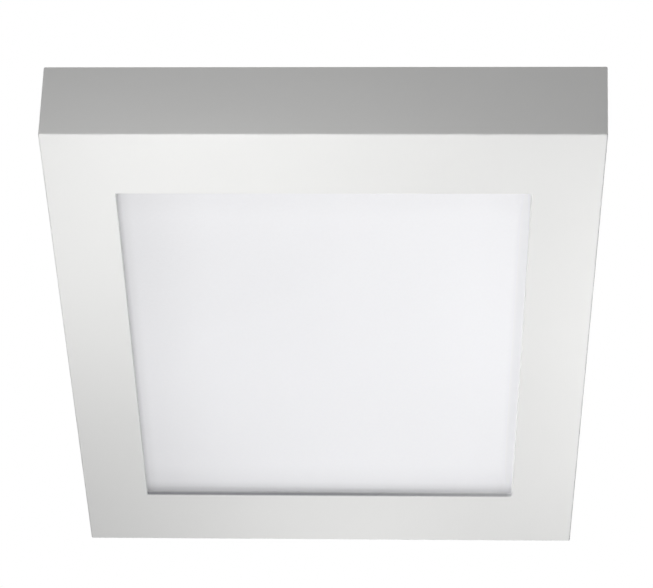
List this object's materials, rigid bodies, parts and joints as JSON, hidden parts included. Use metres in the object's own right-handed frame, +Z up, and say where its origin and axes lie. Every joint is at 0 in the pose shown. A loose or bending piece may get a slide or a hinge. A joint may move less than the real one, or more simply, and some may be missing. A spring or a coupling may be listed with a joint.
{
  "type": "flush mount ceiling light",
  "caption": "Square surface-mounted LED ceiling light: white tapered frame, recessed opal diffuser, ceiling strap with spring clips, driver and hinged wiring box.",
  "frame": {"origin": "centre of the ceiling screw pattern on the strap's top face, which lies on the ceiling", "axes": "+Z up into the ceiling, so the lit face looks along -Z; +X along the ceiling strap; +Y from the wiring box towards the driver"},
  "size_m": [0.172, 0.172, 0.0335],
  "materials": {
    "frame_white": "satin white powder coat on die-cast aluminium",
    "opal_diffuser": "opal white acrylic, satin",
    "clear_acrylic": "clear acrylic light guide with printed dots",
    "white_film": "matt white reflector film",
    "grey_foam": "soft grey polyethylene foam",
    "strip_board": "white solder mask on an aluminium strip",
    "led_body": "white LED packages with yellow phosphor",
    "galvanised_steel": "galvanised sheet with faint spangle",
    "spring_steel": "bright spring steel",
    "rivet_aluminium": "plain aluminium",
    "zinc_fasteners": "bright zinc plate",
    "black_rubber": "matt black rubber",
    "driver_white": "white moulded polycarbonate, finely textured",
    "wiring_box_grey": "light grey moulded polycarbonate",
    "green_board": "green solder mask",
    "ferrite": "dark grey ferrite",
    "yellow_tape": "yellow polyester tape",
    "capacitor_sleeve": "dark blue shrink sleeve with an aluminium end",
    "film_yellow": "yellow moulded film capacitor",
    "choke_sleeve": "black shrink sleeve over a copper winding",
    "fuse_ceramic": "ceramic tube with plated caps",
    "chip_black": "black moulded package",
    "terminal_white": "white polyamide",
    "button_orange": "orange polyamide",
    "button_green": "green polyamide",
    "contact_metal": "tinned copper alloy",
    "clamp_black": "black polyamide",
    "wire_brown": "brown insulation",
    "wire_blue": "blue insulation",
    "wire_green_yellow": "green insulation with a yellow stripe",
    "wire_red": "red insulation",
    "wire_black": "black insulation",
    "connector_white": "natural white polyamide"
  },
  "bodies": {
    "bracket": {"ceiling_bracket": "galvanised_steel", "spring_clip_right": "spring_steel", "spring_clip_left": "spring_steel", "clip_rivets": "rivet_aluminium"},
    "lamp": {"housing": "frame_white", "diffuser": "opal_diffuser", "light_guide_plate": "clear_acrylic", "reflector_sheet": "white_film", "foam_pad": "grey_foam", "led_board_left": "strip_board", "led_board_right": "strip_board", "leds_left": "led_body", "leds_right": "led_body", "back_cover": "galvanised_steel", "cover_screws": "zinc_fasteners", "cover_studs": "zinc_fasteners", "stud_nuts": "zinc_fasteners", "lead_grommets": "black_rubber", "driver_case": "driver_white", "driver_lid": "driver_white", "driver_board": "green_board", "transformer_core": "ferrite", "transformer_winding": "yellow_tape", "input_capacitor": "capacitor_sleeve", "output_capacitor": "capacitor_sleeve", "line_choke": "choke_sleeve", "suppression_capacitor": "film_yellow", "fuse": "fuse_ceramic", "rectifier": "chip_black", "control_chip": "chip_black", "wiring_box": "wiring_box_grey", "terminal_block": "terminal_white", "terminal_contacts": "contact_metal", "supply_grommet": "black_rubber", "cable_clamp": "clamp_black", "cable_clamp_screws": "zinc_fasteners", "live_lead": "wire_brown", "neutral_lead": "wire_blue", "earth_lead": "wire_green_yellow", "earth_ring": "contact_metal", "driver_plug": "connector_white", "strip_socket": "connector_white", "driver_lead_red": "wire_red", "driver_lead_black": "wire_black", "left_strip_lead_red": "wire_red", "left_strip_lead_black": "wire_black", "right_strip_lead_red": "wire_red", "right_strip_lead_black": "wire_black", "lead_clips": "connector_white"},
    "box_lid": {"wiring_box_lid": "wiring_box_grey"},
    "live_button": {"live_release_button": "button_orange"},
    "neutral_button": {"neutral_release_button": "button_orange"},
    "earth_button": {"earth_release_button": "button_green"}
  },
  "joints": [
    {"name": "lamp_drop", "type": "slide", "parent": "bracket", "child": "lamp", "axis": [0, 0, -1], "range_m": [0, 0.06], "deforming": ["spring_clip_right", "spring_clip_left"]},
    {"name": "box_lid_hinge", "type": "hinge", "parent": "lamp", "child": "box_lid", "pos_m": [-0.008, -0.0562, -0.00645], "axis": [1, 0, 0], "range_deg": [0, 110]},
    {"name": "live_button_press", "type": "slide", "parent": "lamp", "child": "live_button", "axis": [0, 0, -1], "range_m": [0, 0.0013], "stiffness_N_per_m": 1500, "springref_m": -0.0008, "deforming": ["terminal_contacts"]},
    {"name": "neutral_button_press", "type": "slide", "parent": "lamp", "child": "neutral_button", "axis": [0, 0, -1], "range_m": [0, 0.0013], "stiffness_N_per_m": 1500, "springref_m": -0.0008, "deforming": ["terminal_contacts"]},
    {"name": "earth_button_press", "type": "slide", "parent": "lamp", "child": "earth_button", "axis": [0, 0, -1], "range_m": [0, 0.0013], "stiffness_N_per_m": 1500, "springref_m": -0.0008, "deforming": ["terminal_contacts"]}
  ]
}
